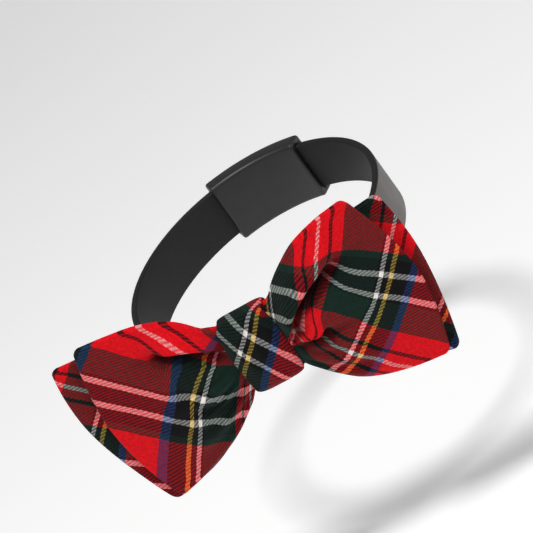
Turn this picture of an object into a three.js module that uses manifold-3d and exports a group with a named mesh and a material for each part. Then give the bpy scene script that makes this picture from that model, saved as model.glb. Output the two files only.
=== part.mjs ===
// Pet bow tie collar: a bow of two cloth layers, gathered by a knot and held by a loop on a round neck strap.
// Millimetres. The origin is the centre of the neck loop, and +Z runs up the neck, towards the head.
// The bow is at the front and faces -Y, and +X is on the right of someone who looks at the bow.
import * as THREE from "three";
import { mergeVertices } from "three/addons/utils/BufferGeometryUtils.js";
import Module from "manifold-3d";

// Driving dimensions of the strap, its clasp and the loop that holds the bow
const GAP = 0.3;
const LOOP_HALF_WIDTH = 50;
const LOOP_HALF_DEPTH = 55.5;
const STRAP_WIDTH = 20;
const STRAP_THICKNESS = 2.6;
const CLASP_LENGTH = 38;
const CLASP_WEB = 14;
const CLASP_WALL = 2.2;
const KEEPER_WIDTH = 14;
const KEEPER_WALL = 1.5;

// Driving dimensions of the knot
const KNOT_WIDTH = 21;
const KNOT_HEIGHT = 31;
const KNOT_WALL = 1.8;
const KNOT_BULGE = 2.2;
const KNOT_CORNER = 4.2;

// Driving dimensions of the bow: a front and a back layer, each one folded wall of cloth
const BOW_RISE = 5;
const CLOTH_WALL = 2.4;
const FRONT_WAIST = 4.2;
const FRONT_TIP = 56;
const FRONT_LEFT_BULGE = 6;
const FRONT_RIGHT_BULGE = 8;
const FRONT_TOP = 36;
const FRONT_BOTTOM = 36;
const FRONT_PUFF = 9;
const BACK_WAIST = 3.4;
const BACK_LEFT_TOP_TIP = 69;
const BACK_LEFT_BOTTOM_TIP = 60;
const BACK_LEFT_BULGE = 6.5;
const BACK_RIGHT_TOP_TIP = 65.5;
const BACK_RIGHT_BOTTOM_TIP = 58.5;
const BACK_RIGHT_BULGE = 4.5;
const BACK_TOP = 29;
const BACK_BOTTOM = 39;
const BACK_PUFF = 1.6;
const END_ROUNDNESS = 1.7;
const FOLD_STEEP_SIDE = 2.2;
const FOLD_SOFT_SIDE = 11;

// How finely the surfaces are stepped
const LOOP_STEPS = 72;
const KNOT_STEPS = 6;
const CORNER_STEPS = 3;
const FACE_STEPS = 6;
const WING_STEPS = 13;
const BAND_ROWS = 5;

// Sections of a wing, from the knot out to the corner tips. `along` is a share of the wing's length outside the
// knot, `top` and `bottom` are shares of the growth in height, `puff` is a share of the layer's puff, and `curl`
// is the share of it that the upper and lower edges lose.
const FRONT_RIGHT_SECTIONS = [
  { along: 0.0, top: 0.0, bottom: 0.0, puff: 0.0, curl: 0.6 },
  { along: 0.06, top: 0.12, bottom: 0.13, puff: 0.42, curl: 0.75 },
  { along: 0.16, top: 0.32, bottom: 0.38, puff: 0.82, curl: 0.8 },
  { along: 0.3, top: 0.54, bottom: 0.62, puff: 1.0, curl: 0.75 },
  { along: 0.5, top: 0.78, bottom: 0.8, puff: 0.82, curl: 0.65 },
  { along: 0.75, top: 0.93, bottom: 0.93, puff: 0.5, curl: 0.5 },
  { along: 1.0, top: 1.0, bottom: 1.0, puff: 0.3, curl: 0.4 },
];
const FRONT_LEFT_SECTIONS = [
  { along: 0.0, top: 0.0, bottom: 0.0, puff: 0.0, curl: 0.6 },
  { along: 0.06, top: 0.24, bottom: 0.12, puff: 0.45, curl: 0.75 },
  { along: 0.16, top: 0.5, bottom: 0.27, puff: 0.85, curl: 0.8 },
  { along: 0.3, top: 0.7, bottom: 0.46, puff: 1.0, curl: 0.75 },
  { along: 0.5, top: 0.84, bottom: 0.66, puff: 0.8, curl: 0.65 },
  { along: 0.75, top: 0.9, bottom: 0.85, puff: 0.5, curl: 0.5 },
  { along: 1.0, top: 0.94, bottom: 1.0, puff: 0.3, curl: 0.4 },
];
const BACK_SECTIONS = [
  { along: 0.0, top: 0.0, bottom: 0.0, puff: 0.0, curl: 0.4 },
  { along: 0.12, top: 0.24, bottom: 0.2, puff: 0.6, curl: 0.6 },
  { along: 0.3, top: 0.54, bottom: 0.48, puff: 1.0, curl: 0.7 },
  { along: 0.6, top: 0.85, bottom: 0.8, puff: 0.6, curl: 0.6 },
  { along: 1.0, top: 1.0, bottom: 1.0, puff: 0.1, curl: 0.4 },
];

// Folds that run out of the knot, the lower one first. `start` and `finish` are their heights at the knot and
// where they fade, as shares of the half height there, `reach` is a share of the wing's length, and `depth` is
// the share of the local puff that they cut away.
const FRONT_RIGHT_FOLDS = [
  { start: -0.4, finish: -0.1, reach: 0.36, depth: 0.5 },
  { start: -0.15, finish: 0.49, reach: 0.72, depth: 0.88 },
];
const FRONT_LEFT_FOLDS = [
  { start: -0.5, finish: -0.36, reach: 0.36, depth: 0.4 },
  { start: 0.42, finish: 0.6, reach: 0.52, depth: 0.85 },
];
const BACK_FOLDS = [
  { start: -0.45, finish: -0.2, reach: 0.5, depth: 0.7 },
  { start: 0.3, finish: 0.25, reach: 0.5, depth: 0.7 },
];

// Distances in front of the neck's axis, from the strap out to the knot's face
const knotBack = LOOP_HALF_DEPTH + STRAP_THICKNESS + KEEPER_WALL + 2 * GAP;
const backWaistBack = knotBack + KNOT_WALL + GAP;
const frontWaistBack = backWaistBack + BACK_WAIST + GAP;
const knotFront = frontWaistBack + FRONT_WAIST + GAP + KNOT_WALL;
const knotHalfWidth = KNOT_WIDTH / 2;
const waistHalfHeight = KNOT_HEIGHT / 2 - KNOT_WALL - GAP;

const FRONT_LAYER = {
  waistBack: frontWaistBack,
  waist: FRONT_WAIST,
  puff: FRONT_PUFF,
  top: FRONT_TOP,
  bottom: FRONT_BOTTOM,
  left: {
    sections: FRONT_LEFT_SECTIONS,
    folds: FRONT_LEFT_FOLDS,
    topTip: FRONT_TIP,
    bottomTip: FRONT_TIP,
    endBulge: FRONT_LEFT_BULGE,
  },
  right: {
    sections: FRONT_RIGHT_SECTIONS,
    folds: FRONT_RIGHT_FOLDS,
    topTip: FRONT_TIP,
    bottomTip: FRONT_TIP,
    endBulge: FRONT_RIGHT_BULGE,
  },
};
const BACK_LAYER = {
  waistBack: backWaistBack,
  waist: BACK_WAIST,
  puff: BACK_PUFF,
  top: BACK_TOP,
  bottom: BACK_BOTTOM,
  left: {
    sections: BACK_SECTIONS,
    folds: BACK_FOLDS,
    topTip: BACK_LEFT_TOP_TIP,
    bottomTip: BACK_LEFT_BOTTOM_TIP,
    endBulge: BACK_LEFT_BULGE,
  },
  right: {
    sections: BACK_SECTIONS,
    folds: BACK_FOLDS,
    topTip: BACK_RIGHT_TOP_TIP,
    bottomTip: BACK_RIGHT_BOTTOM_TIP,
    endBulge: BACK_RIGHT_BULGE,
  },
};

const { lerp, clamp, smoothstep } = THREE.MathUtils;
const wasm = await Module();
wasm.setup();

// Joins sections, each a closed loop of as many points, into one closed wall. A ring joins its last section to
// its first, and an open one has each end closed by a strip across its section.
function loft(sections, isRing) {
  const count = sections[0].length;
  const points = sections.flat();
  const faces = [];
  const quad = (a, b, c, d) => faces.push(a, b, c, a, c, d);
  const joints = isRing ? sections.length : sections.length - 1;
  for (let s = 0; s < joints; s += 1) {
    const here = s * count;
    const next = ((s + 1) % sections.length) * count;
    for (let i = 0; i < count; i += 1) {
      const j = (i + 1) % count;
      quad(here + i, here + j, next + j, next + i);
    }
  }
  const last = (sections.length - 1) * count;
  for (let i = 0; !isRing && i < count / 2 - 1; i += 1) {
    quad(i, count - 1 - i, count - 2 - i, i + 1);
    quad(last + i + 1, last + count - 2 - i, last + count - 1 - i, last + i);
  }
  return facingOut(new THREE.BufferGeometry().setFromPoints(points), faces);
}

// Gives a geometry its faces, turned round if they would enclose a negative volume.
function facingOut(geometry, faces) {
  const corner = (i) => new THREE.Vector3().fromBufferAttribute(geometry.attributes.position, faces[i]);
  let volume = 0;
  for (let i = 0; i < faces.length; i += 3) {
    volume += corner(i).dot(corner(i + 1).cross(corner(i + 2)));
  }
  geometry.setIndex(volume < 0 ? faces.reverse() : faces);
  geometry.computeVertexNormals();
  return geometry;
}

// A point at an angle from the front of the oval loop, positive towards +X, and some way out from its inner face.
function aroundNeck(outwards, angle, height) {
  const sine = Math.sin(angle);
  const cosine = Math.cos(angle);
  const normal = new THREE.Vector3(LOOP_HALF_DEPTH * sine, -LOOP_HALF_WIDTH * cosine, 0).normalize();
  const inside = new THREE.Vector3(LOOP_HALF_WIDTH * sine, -LOOP_HALF_DEPTH * cosine, height);
  return inside.addScaledVector(normal, outwards);
}

// The angle that a length along the strap takes at the throat or the nape.
function angleOf(length) {
  return length / (LOOP_HALF_WIDTH + STRAP_THICKNESS / 2);
}

// A band of rectangular section round the neck, between two angles.
function neckBand(inner, outer, halfWidth, from, to) {
  const steps = Math.max(2, Math.round((LOOP_STEPS * (to - from)) / (2 * Math.PI)));
  const sections = [];
  for (let i = 0; i <= steps; i += 1) {
    const angle = lerp(from, to, i / steps);
    sections.push([
      aroundNeck(inner, angle, -halfWidth),
      aroundNeck(outer, angle, -halfWidth),
      aroundNeck(outer, angle, halfWidth),
      aroundNeck(inner, angle, halfWidth),
    ]);
  }
  return loft(sections, false);
}

// Cuts one closed geometry out of another.
function cut(geometry, ...tools) {
  const solid = (source) => {
    const bare = new THREE.BufferGeometry().setAttribute("position", source.attributes.position);
    const merged = mergeVertices(bare.setIndex(source.index), 1e-4);
    const vertProperties = merged.attributes.position.array;
    return new wasm.Manifold(
      new wasm.Mesh({ numProp: 3, vertProperties, triVerts: new Uint32Array(merged.index.array) }),
    );
  };
  const made = tools.reduce((rest, tool) => rest.subtract(solid(tool)), solid(geometry)).getMesh();
  const result = new THREE.BufferGeometry();
  result.setAttribute("position", new THREE.BufferAttribute(made.vertProperties, 3));
  result.setIndex(new THREE.BufferAttribute(made.triVerts, 1));
  result.computeVertexNormals();
  return result;
}

// The neck strap: a C that starts and ends inside the clasp.
function strapGeometry() {
  const end = Math.PI - angleOf(CLASP_WEB / 2 + GAP);
  return neckBand(0, STRAP_THICKNESS, STRAP_WIDTH / 2, -end, end);
}

// The clasp at the nape: a curved block with a pocket at each end for the strap.
function claspGeometry() {
  const half = angleOf(CLASP_LENGTH / 2);
  const web = angleOf(CLASP_WEB / 2);
  const pocketHalf = STRAP_WIDTH / 2 + GAP;
  const outer = STRAP_THICKNESS + GAP;
  const pocket = (from, to) => neckBand(-GAP, outer, pocketHalf, Math.PI + from, Math.PI + to);
  const block = neckBand(
    -GAP - CLASP_WALL,
    outer + CLASP_WALL,
    pocketHalf + CLASP_WALL,
    Math.PI - half,
    Math.PI + half,
  );
  return cut(block, pocket(-2 * half, -web), pocket(web, 2 * half));
}

// The loop behind the knot that the strap passes through.
function keeperGeometry() {
  const half = angleOf(KEEPER_WIDTH / 2);
  const outer = STRAP_THICKNESS + GAP;
  const holeHalf = STRAP_WIDTH / 2 + GAP;
  const block = neckBand(-GAP - KEEPER_WALL, outer + KEEPER_WALL, holeHalf + KEEPER_WALL, -half, half);
  return cut(block, neckBand(-GAP, outer, holeHalf, -2 * half, 2 * half));
}

// A closed outline of the knot in the YZ plane, as pairs of distance in front of the axis and height. It starts
// at the middle of the front face, and each face and corner has the same number of steps in every outline.
function knotOutline(back, front, halfHeight, corner) {
  const middle = (back + front) / 2;
  const halfDepth = (front - back) / 2;
  const outline = [];
  const sides = [
    { reach: 1, height: 1, turn: 0 },
    { reach: -1, height: 1, turn: 1 },
    { reach: -1, height: -1, turn: 2 },
    { reach: 1, height: -1, turn: 3 },
  ];
  sides.forEach((side) => {
    for (let i = 0; i <= CORNER_STEPS; i += 1) {
      const angle = ((side.turn + i / CORNER_STEPS) * Math.PI) / 2;
      outline.push({
        reach: middle + side.reach * (halfDepth - corner) + corner * Math.cos(angle),
        height: side.height * (halfHeight - corner) + corner * Math.sin(angle),
      });
    }
    const along = side.turn % 2 ? "height" : "reach";
    const from = outline[outline.length - 1];
    const length = 2 * (along === "height" ? halfHeight - corner : halfDepth - corner);
    for (let i = 1; i < FACE_STEPS; i += 1) {
      const step = (-side[along] * length * i) / FACE_STEPS;
      outline.push({ ...from, [along]: from[along] + step });
    }
  });
  return outline;
}

// The knot: a closed ring of cloth round both waists, fuller across its middle than at its edges.
function knotGeometry() {
  const holeBack = knotBack + KNOT_WALL;
  const holeFront = knotFront - KNOT_WALL;
  const hole = knotOutline(holeBack, holeFront, KNOT_HEIGHT / 2 - KNOT_WALL, GAP);
  const outside = knotOutline(knotBack, knotFront, KNOT_HEIGHT / 2, KNOT_CORNER);
  const sections = outside.map((outer, k) => {
    const face = clamp((outer.reach - knotBack) / (knotFront - knotBack), 0, 1);
    const crown = Math.cos((Math.PI / 2) * clamp(outer.height / (KNOT_HEIGHT / 2), -1, 1));
    const section = [];
    for (let i = 0; i <= KNOT_STEPS; i += 1) {
      const across = lerp(-1, 1, i / KNOT_STEPS);
      const bulge = KNOT_BULGE * face * (1 - across * across) * lerp(0.4, 1, crown);
      section.push(new THREE.Vector3(across * knotHalfWidth, -outer.reach - bulge, outer.height));
    }
    for (let i = KNOT_STEPS; i >= 0; i -= 1) {
      const across = lerp(-1, 1, i / KNOT_STEPS);
      section.push(new THREE.Vector3(across * knotHalfWidth, -hole[k].reach, hole[k].height));
    }
    return section;
  });
  return loft(sections, true);
}

// Reads one column of a table of sections as a smooth curve.
function readSections(rows, column, along) {
  const i = clamp(rows.findIndex((row) => row.along >= along) - 1, 0, rows.length - 2);
  const slope = (k) => {
    const before = rows[Math.max(k - 1, 0)];
    const after = rows[Math.min(k + 1, rows.length - 1)];
    return (after[column] - before[column]) / (after.along - before.along);
  };
  const width = rows[i + 1].along - rows[i].along;
  const s = (along - rows[i].along) / width;
  const rise = rows[i + 1][column] - rows[i][column];
  const eased = s * s * (3 - 2 * s);
  const lead = slope(i) * width * s * (1 - s) * (1 - s);
  const trail = slope(i + 1) * width * s * s * (1 - s);
  return rows[i][column] + rise * eased + lead - trail;
}

// Height of a fold's crease, as a share of the half height.
function creaseHeight(fold, along) {
  const left = 1 - clamp(along / fold.reach, 0, 1);
  return lerp(fold.finish, fold.start, left ** 3);
}

// Share of the local puff that a fold cuts away, `rise` millimetres above its crease.
function foldCut(fold, along, rise) {
  const side = rise > 0 ? FOLD_STEEP_SIDE : FOLD_SOFT_SIDE;
  const fade = 1 - smoothstep(along, 0.4 * fold.reach, fold.reach);
  return fold.depth * fade * (1 - smoothstep(Math.abs(rise), 0, side));
}

// Upper and lower half height of a wing.
function halfHeights(layer, wing, along) {
  return {
    top: lerp(waistHalfHeight, layer.top, readSections(wing.sections, "top", along)),
    bottom: lerp(waistHalfHeight, layer.bottom, readSections(wing.sections, "bottom", along)),
  };
}

// How far the cloth stands forward of the waist, at a height that is a share of the half height.
function puffAt(layer, wing, along, share) {
  const heights = halfHeights(layer, wing, along);
  const half = (heights.top + heights.bottom) / 2;
  const curl = readSections(wing.sections, "curl", along);
  const crown = 1 - curl * Math.abs(share) ** 2.2;
  const kept = wing.folds.reduce(
    (rest, fold) => rest * (1 - foldCut(fold, along, (share - creaseHeight(fold, along)) * half)),
    1,
  );
  return layer.puff * readSections(wing.sections, "puff", along) * crown * kept;
}

// Heights of a section's rows, as shares of the half height: the same number lies between each two creases, close
// together beside them.
function rowShares(wing, along) {
  const stops = [-1, ...wing.folds.map((fold) => creaseHeight(fold, along)), 1];
  const shares = [];
  for (let band = 0; band < stops.length - 1; band += 1) {
    for (let i = 0; i < BAND_ROWS; i += 1) {
      const eased = (1 - Math.cos((Math.PI * i) / BAND_ROWS)) / 2;
      shares.push(lerp(stops[band], stops[band + 1], eased));
    }
  }
  return [...shares, 1];
}

// One section of a layer: up its front face and down its back face.
function layerSection(layer, wing, side, along) {
  const heights = halfHeights(layer, wing, along);
  const wall = lerp(layer.waist, CLOTH_WALL, smoothstep(along, 0, 0.16));
  const middle = layer.waistBack + layer.waist / 2;
  const front = rowShares(wing, along).map((share) => {
    const tip = lerp(wing.bottomTip, wing.topTip, (share + 1) / 2);
    const end = tip + wing.endBulge * (1 - Math.abs(share) ** END_ROUNDNESS);
    const x = side * lerp(knotHalfWidth, end, along);
    const z = share * (share > 0 ? heights.top : heights.bottom);
    return new THREE.Vector3(x, -middle - puffAt(layer, wing, along, share) - wall / 2, z);
  });
  const back = front.map((point) => point.clone().setY(point.y + wall)).reverse();
  return [...front, ...back];
}

// A layer of the bow, from its left tips through the waist to its right tips.
function layerGeometry(layer) {
  const steps = [...Array(WING_STEPS + 1).keys()].map((i) => (i / WING_STEPS) ** 1.3);
  const left = steps.map((along) => layerSection(layer, layer.left, -1, along)).reverse();
  const right = steps.map((along) => layerSection(layer, layer.right, 1, along));
  return loft([...left, ...right], false);
}

function namedMesh(name, geometry, look) {
  const mesh = new THREE.Mesh(geometry, new THREE.MeshStandardMaterial(look));
  mesh.name = name;
  return mesh;
}

const collar = new THREE.Group();
collar.add(
  namedMesh("collar_strap", strapGeometry(), { color: "#8a817d", roughness: 0.7, metalness: 0 }),
  namedMesh("clasp", claspGeometry(), { color: "#232225", roughness: 0.5, metalness: 0 }),
  namedMesh("keeper_loop", keeperGeometry(), { color: "#1c1b1d", roughness: 0.9, metalness: 0 }),
);

const bow = new THREE.Group();
bow.position.z = BOW_RISE;
bow.add(
  namedMesh("bow_back", layerGeometry(BACK_LAYER), { color: "#a01828", roughness: 0.95, metalness: 0 }),
  namedMesh("bow_front", layerGeometry(FRONT_LAYER), { color: "#b81a2c", roughness: 0.95, metalness: 0 }),
  namedMesh("knot_wrap", knotGeometry(), { color: "#30403c", roughness: 0.95, metalness: 0 }),
);

const object = new THREE.Group();
object.add(collar, bow);

export default object;
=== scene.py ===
# Dresses the pet bow tie collar: a tartan bow in two layers, its knot, a grey neck strap, an elastic loop and
# a plain clasp, on a pale floor under soft studio light. Lengths are in metres, in the part's own frame.
import bpy
import math
from mathutils import Matrix, Vector, noise


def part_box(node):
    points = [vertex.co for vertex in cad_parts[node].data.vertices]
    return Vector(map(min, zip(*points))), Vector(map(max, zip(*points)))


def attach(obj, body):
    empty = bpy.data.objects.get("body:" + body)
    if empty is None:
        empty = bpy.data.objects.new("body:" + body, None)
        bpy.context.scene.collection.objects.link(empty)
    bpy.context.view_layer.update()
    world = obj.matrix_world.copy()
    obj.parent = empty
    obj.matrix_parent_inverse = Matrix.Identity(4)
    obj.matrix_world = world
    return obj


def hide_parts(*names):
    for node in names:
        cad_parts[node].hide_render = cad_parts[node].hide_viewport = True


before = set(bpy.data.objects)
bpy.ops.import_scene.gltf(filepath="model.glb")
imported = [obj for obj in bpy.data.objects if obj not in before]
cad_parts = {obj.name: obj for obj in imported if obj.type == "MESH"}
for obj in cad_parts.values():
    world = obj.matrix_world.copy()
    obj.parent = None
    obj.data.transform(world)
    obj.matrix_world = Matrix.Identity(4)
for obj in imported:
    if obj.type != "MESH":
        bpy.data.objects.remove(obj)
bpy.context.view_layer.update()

MM = 0.001

# Sizes read from the frame
STRAP_LOW, STRAP_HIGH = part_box("collar_strap")
KNOT_LOW, KNOT_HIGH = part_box("knot_wrap")
KEEPER_LOW, KEEPER_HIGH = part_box("keeper_loop")
CLASP_LOW, CLASP_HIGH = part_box("clasp")
FRONT_LOW, FRONT_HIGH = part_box("bow_front")
BACK_LOW, BACK_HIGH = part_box("bow_back")

# Walls, corners, edges and clearances; an edge's share is how much of the wall its rounding takes
GAP = 0.3 * MM
STRAP_THICKNESS = 2.6 * MM
STRAP_CORNER = 0.7 * MM
KEEPER_WALL = 1.5 * MM
KEEPER_CORNER = 1.4 * MM
KEEPER_HOLE_CORNER = 0.3 * MM
KEEPER_EDGE = 0.6 * MM
KEEPER_EDGE_SHARE = 0.35
CLASP_WALL = 2.2 * MM
CLASP_WEB = 14 * MM
CLASP_CORNER = 1.6 * MM
CLASP_POCKET_CORNER = 0.6 * MM
CLASP_EDGE = 0.9 * MM
KNOT_WALL = 1.8 * MM
KNOT_BULGE = 2.2 * MM
KNOT_END_BULGE = 0.4
KNOT_CORNER = 4.2 * MM
KNOT_PINCH = 1.3 * MM
KNOT_EDGE = 4.5 * MM
KNOT_EDGE_SHARE = 0.75
KNOT_PLEATS = 3.2
KNOT_PLEAT_DEPTH = 0.35 * MM
KNOT_PLEAT_PHASE = 0.6
KNOT_PLEAT_SLANT = 0.5
CLOTH_WALL = 2.4 * MM
FRONT_WAIST = 4.2 * MM
BACK_WAIST = 3.4 * MM

LOOP_HALF_WIDTH = STRAP_HIGH.x - STRAP_THICKNESS
LOOP_HALF_DEPTH = -STRAP_LOW.y - STRAP_THICKNESS
STRAP_HALF = (STRAP_HIGH.z - STRAP_LOW.z) / 2
BOW_RISE = (KNOT_LOW.z + KNOT_HIGH.z) / 2
KNOT_HALF_WIDTH = (KNOT_HIGH.x - KNOT_LOW.x) / 2
KNOT_HALF_HEIGHT = (KNOT_HIGH.z - KNOT_LOW.z) / 2
WAIST_HALF_HEIGHT = KNOT_HALF_HEIGHT - KNOT_WALL - GAP
KNOT_BACK = -KNOT_HIGH.y
KNOT_FRONT = -KNOT_LOW.y - KNOT_BULGE
BACK_WAIST_BACK = KNOT_BACK + KNOT_WALL + GAP
FRONT_WAIST_BACK = BACK_WAIST_BACK + BACK_WAIST + GAP

# Outline of the bow's ends, and how far its cloth puffs out; the waist's wall ends at a share of the wing
FRONT_TIP = 56 * MM
FRONT_LEFT_BULGE = 6 * MM
FRONT_RIGHT_BULGE = 8 * MM
BACK_LEFT_TOP_TIP = 69 * MM
BACK_LEFT_BOTTOM_TIP = 60 * MM
BACK_LEFT_BULGE = 6.5 * MM
BACK_RIGHT_TOP_TIP = 65.5 * MM
BACK_RIGHT_BOTTOM_TIP = 58.5 * MM
BACK_RIGHT_BULGE = 4.5 * MM
END_ROUNDNESS = 1.7
CORNER_RADIUS = 2.4 * MM
EDGE_RADIUS = 1.2 * MM
FRONT_PUFF = 9 * MM
BACK_PUFF = 1.6 * MM
CROWN_ROUNDNESS = 2.2
WAIST_REACH = 0.16

# How far a fold's slit, its hollow, its lip and its roll run above and below the crease
FOLD_STEEP_SIDE = 1.4 * MM
FOLD_SOFT_SIDE = 8 * MM
FOLD_FLOOR = 2 * MM
FOLD_FAR_SIDE = 4.2 * MM
FOLD_HOLLOW = 10 * MM
FOLD_HOLLOW_SHARE = 0.42
FOLD_LIP_SIDE = 6 * MM
FOLD_ROLL_SIDE = 11 * MM

# Painted shade in a fold, darkening the cloth's colour: how far below the crease it starts and is full, its
# share in the hollow, and the brightness that the most shaded cloth keeps
PAINTED_SHADE_FAR = 6 * MM
PAINTED_SHADE_NEAR = 2.6 * MM
PAINTED_SHADE_IN_HOLLOW = 0.35
PAINTED_SHADE_BRIGHTNESS = 0.1

# Where slits, hollows and the painted shade fade along a fold, as shares of its reach
FADE_FROM = 0.6
HOLLOW_FADE_TO = 1.7
PAINTED_SHADE_FADE_FROM = 0.7
PAINTED_SHADE_FADE_TO = 1.1

# Gathers that fan out of the knot, and soft dents all over; growths are how fast they rise out of the knot
GATHERS = 7
GATHER_DEPTH = 0.7 * MM
GATHER_PHASE = 2
GATHER_FADE_FROM = 0.15
GATHER_FADE_TO = 0.8
DENT_DEPTH = 0.5 * MM
DENT_SPACING = 17 * MM
FOLD_GROWTH = 12
DENT_GROWTH = 8

# How far each row of a slips table carries, as shares of the wing's length and of its half height
SLIP_ALONG = 0.36
SLIP_ACROSS = 0.7

# How finely the surfaces are stepped
WING_STEPS = 96
WING_STEP_GROWTH = 1.3
BAND_ROWS = 32
TRAIL_STEPS = 20
STRAP_STEPS = 360
KNOT_STEPS = 40
KEEPER_STEPS = 24
CLASP_STEPS = 40
CLASP_EDGE_STEPS = 6
CLASP_MIDDLE_SHARE = 0.95

# Sections of a wing, from the knot out to the corner tips. `along` is a share of the wing's length outside
# the knot, `top` and `bottom` are shares of the growth in height, `puff` is a share of the layer's puff, and
# `curl` is the share of it that the upper and lower edges lose.
FRONT_RIGHT_SECTIONS = [
    {"along": 0.0, "top": 0.0, "bottom": 0.0, "puff": 0.0, "curl": 0.6},
    {"along": 0.06, "top": 0.12, "bottom": 0.13, "puff": 0.5, "curl": 0.75},
    {"along": 0.16, "top": 0.32, "bottom": 0.38, "puff": 0.86, "curl": 0.8},
    {"along": 0.3, "top": 0.54, "bottom": 0.62, "puff": 1.0, "curl": 0.75},
    {"along": 0.5, "top": 0.78, "bottom": 0.8, "puff": 0.82, "curl": 0.65},
    {"along": 0.75, "top": 0.93, "bottom": 0.93, "puff": 0.5, "curl": 0.5},
    {"along": 1.0, "top": 1.0, "bottom": 1.0, "puff": 0.3, "curl": 0.4},
]
FRONT_LEFT_SECTIONS = [
    {"along": 0.0, "top": 0.0, "bottom": 0.0, "puff": 0.0, "curl": 0.6},
    {"along": 0.06, "top": 0.24, "bottom": 0.12, "puff": 0.5, "curl": 0.75},
    {"along": 0.16, "top": 0.5, "bottom": 0.27, "puff": 0.88, "curl": 0.8},
    {"along": 0.3, "top": 0.7, "bottom": 0.46, "puff": 1.0, "curl": 0.75},
    {"along": 0.5, "top": 0.84, "bottom": 0.66, "puff": 0.8, "curl": 0.65},
    {"along": 0.75, "top": 0.9, "bottom": 0.85, "puff": 0.5, "curl": 0.5},
    {"along": 1.0, "top": 0.94, "bottom": 1.0, "puff": 0.3, "curl": 0.4},
]
BACK_SECTIONS = [
    {"along": 0.0, "top": 0.0, "bottom": 0.0, "puff": 0.0, "curl": 0.4},
    {"along": 0.12, "top": 0.24, "bottom": 0.2, "puff": 0.6, "curl": 0.6},
    {"along": 0.3, "top": 0.54, "bottom": 0.48, "puff": 1.0, "curl": 0.7},
    {"along": 0.6, "top": 0.85, "bottom": 0.8, "puff": 0.6, "curl": 0.6},
    {"along": 1.0, "top": 1.0, "bottom": 1.0, "puff": 0.1, "curl": 0.4},
]

# Folds that run out of the knot, the lower one first. `start` and `finish` are their heights at the knot and
# where they fade, as shares of the half height there, `reach` is a share of the wing's length, and a larger
# `bend` brings the climb closer to the knot. `depth` is the share of the local puff that the fold cuts away,
# `lip` is how far the cloth above hangs over and `roll` is how far it stands out, both in millimetres, and
# `tuck` is the fold's share of the cloth that is gathered out of sight.
FRONT_RIGHT_FOLDS = [
    {"start": -0.4, "finish": -0.1, "reach": 0.36, "bend": 3,
     "depth": 0.7, "lip": 2.2, "roll": 0.4, "tuck": 0.3},
    {"start": -0.15, "finish": 0.54, "reach": 0.72, "bend": 5,
     "depth": 1.0, "lip": 1.6, "roll": 2.2, "tuck": 0.5},
]
FRONT_LEFT_FOLDS = [
    {"start": -0.5, "finish": -0.36, "reach": 0.36, "bend": 3,
     "depth": 0.25, "lip": 0.0, "roll": 0.2, "tuck": 0.0},
    {"start": 0.42, "finish": 0.6, "reach": 0.52, "bend": 3,
     "depth": 1.0, "lip": 2.6, "roll": 1.8, "tuck": 0.5},
]
BACK_FOLDS = [
    {"start": -0.45, "finish": -0.2, "reach": 0.5, "bend": 3,
     "depth": 0.7, "lip": 0.0, "roll": 0.0, "tuck": 0.4},
    {"start": 0.3, "finish": 0.25, "reach": 0.5, "bend": 3,
     "depth": 0.7, "lip": 0.0, "roll": 0.0, "tuck": 0.4},
]

# Where the gathering has let the cloth slip, in millimetres: `out` towards +X and `up`, at a share of the
# wing's length and of its half height, `over` the upper fold (1) or under it (0).
FRONT_RIGHT_SLIPS = [
    {"along": 0.1, "share": 0.6, "over": 1, "out": -2.8, "up": 2.4},
    {"along": 0.35, "share": 0.75, "over": 1, "out": 0.1, "up": 4.5},
    {"along": 0.65, "share": 0.8, "over": 1, "out": 3.5, "up": 5.3},
    {"along": 0.12, "share": -0.35, "over": 0, "out": -5.4, "up": 3.7},
    {"along": 0.3, "share": 0.1, "over": 0, "out": -10.8, "up": -0.7},
    {"along": 0.35, "share": -0.6, "over": 0, "out": -3.3, "up": 1.3},
    {"along": 0.6, "share": 0.0, "over": 0, "out": -7.9, "up": -1.7},
    {"along": 0.62, "share": 0.4, "over": 0, "out": -8.4, "up": -1.7},
    {"along": 0.85, "share": 0.4, "over": 0, "out": -3.9, "up": 2.1},
    {"along": 0.8, "share": -0.6, "over": 0, "out": -4.3, "up": -1.6},
]
FRONT_LEFT_SLIPS = [
    {"along": 0.15, "share": 0.75, "over": 1, "out": 3.8, "up": -0.4},
    {"along": 0.5, "share": 0.85, "over": 1, "out": 11.0, "up": 2.3},
    {"along": 0.12, "share": 0.0, "over": 0, "out": 0.6, "up": 11.5},
    {"along": 0.12, "share": -0.6, "over": 0, "out": 2.2, "up": 9.8},
    {"along": 0.3, "share": 0.3, "over": 0, "out": 1.1, "up": 7.2},
    {"along": 0.35, "share": -0.4, "over": 0, "out": 2.2, "up": 7.6},
    {"along": 0.6, "share": 0.2, "over": 0, "out": 5.2, "up": -3.0},
    {"along": 0.6, "share": -0.7, "over": 0, "out": 0.9, "up": 8.9},
    {"along": 0.9, "share": 0.3, "over": 0, "out": 6.8, "up": -2.1},
    {"along": 0.95, "share": 0.9, "over": 1, "out": 11.5, "up": -0.6},
]
BACK_RIGHT_SLIPS = [
    {"along": 0.8, "share": 0.0, "over": 1, "out": -8.0, "up": -3.6},
    {"along": 0.8, "share": 0.0, "over": 0, "out": -8.0, "up": -3.6},
]
BACK_LEFT_SLIPS = [
    {"along": 0.8, "share": 0.0, "over": 1, "out": 5.8, "up": 1.4},
    {"along": 0.8, "share": 0.0, "over": 0, "out": 5.8, "up": 1.4},
]

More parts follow.
